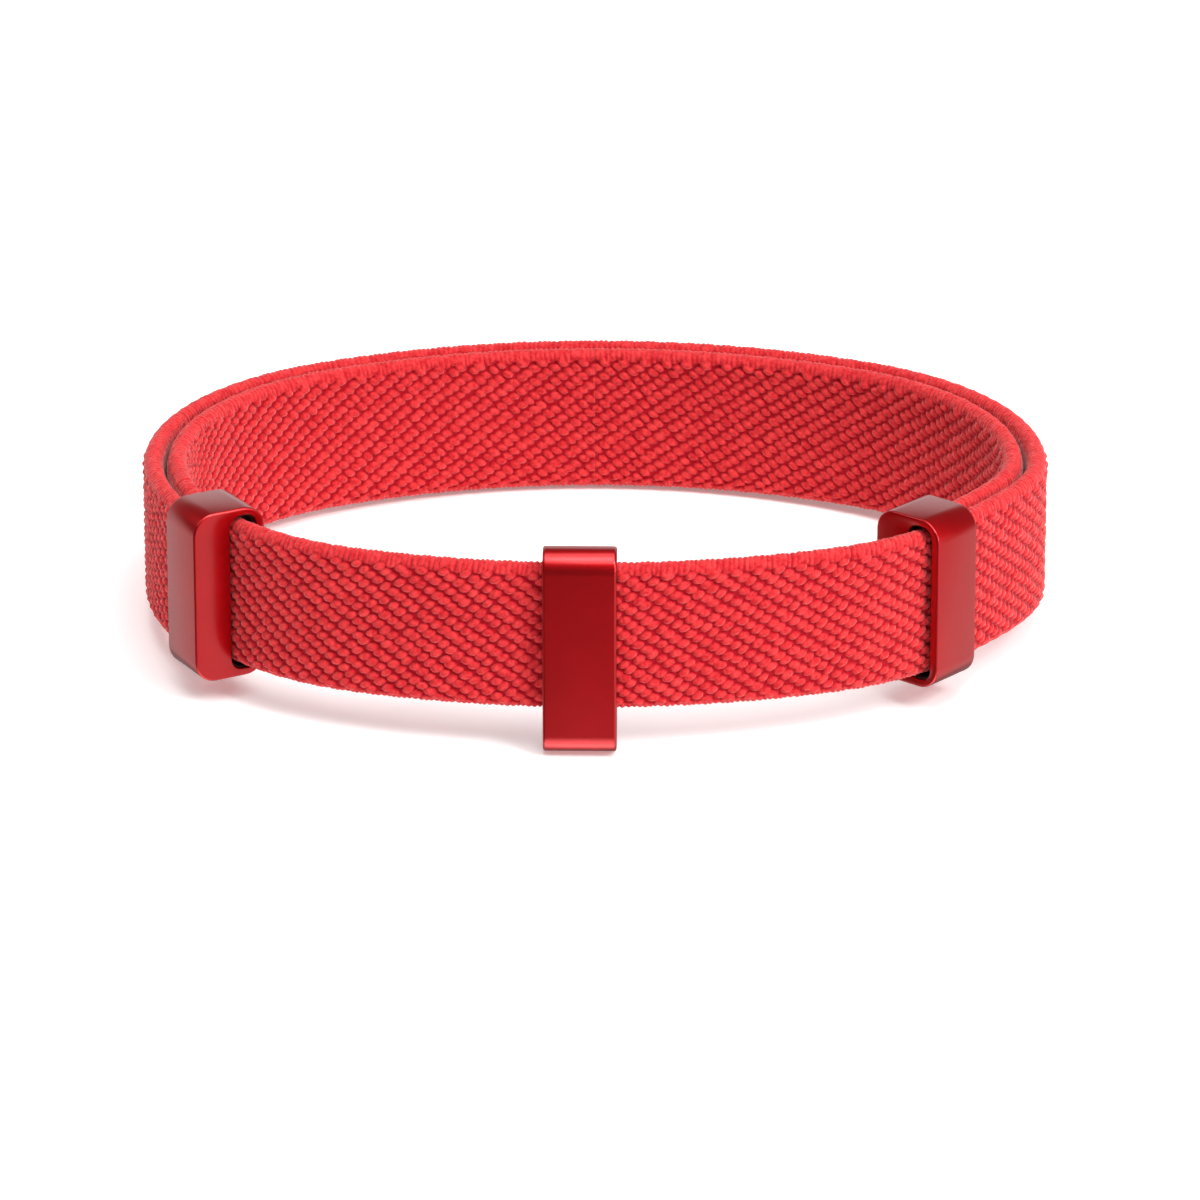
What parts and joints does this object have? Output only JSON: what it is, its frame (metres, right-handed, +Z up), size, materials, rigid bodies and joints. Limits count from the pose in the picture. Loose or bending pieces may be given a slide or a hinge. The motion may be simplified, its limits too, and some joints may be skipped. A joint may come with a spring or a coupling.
{
  "type": "elastic wristband",
  "caption": "Adjustable elastic wristband: a woven strap doubled round the back, held by sliding metal sleeves, with a loose flat metal ring on its front run.",
  "frame": {"origin": "centre of the whole object's box, at the level of the front ring's lowest edge", "axes": "+X to the right seen from the front, -Y the front with the single run and the ring, +Z up across the strap's width"},
  "size_m": [0.0718, 0.053, 0.0167],
  "materials": {
    "strap": "woven elastic, matt",
    "red_metal": "bead-blasted, anodised red",
    "lining": "matt black",
    "clamp_metal": "plain"
  },
  "bodies": {
    "band": {"front_run": "strap", "inner_layer": "strap", "outer_layer": "strap"},
    "left_slider": {"left_sleeve": "red_metal", "left_liner": "lining", "left_end_clamp": "clamp_metal"},
    "right_slider": {"right_sleeve": "red_metal", "right_liner": "lining", "right_end_clamp": "clamp_metal"},
    "clip": {"front_clip": "red_metal"}
  },
  "joints": [
    {"name": "left_slide", "type": "hinge", "parent": "band", "child": "left_slider", "pos_m": [-0.0115, -0.0015, 0.0095], "axis": [0, 0, 1], "range_deg": [0, 19]},
    {"name": "right_slide", "type": "hinge", "parent": "band", "child": "right_slider", "pos_m": [0.0115, -0.0015, 0.0095], "axis": [0, 0, 1], "range_deg": [-19, 0]},
    {"name": "clip_slide", "type": "hinge", "parent": "band", "child": "clip", "pos_m": [0, 0.03143, 0.00835], "axis": [0, 0, 1], "range_deg": [-10.8, 13.2]}
  ],
  "couplings": [
    {"joint": "right_slide", "follows": "left_slide", "ratio": -1}
  ]
}
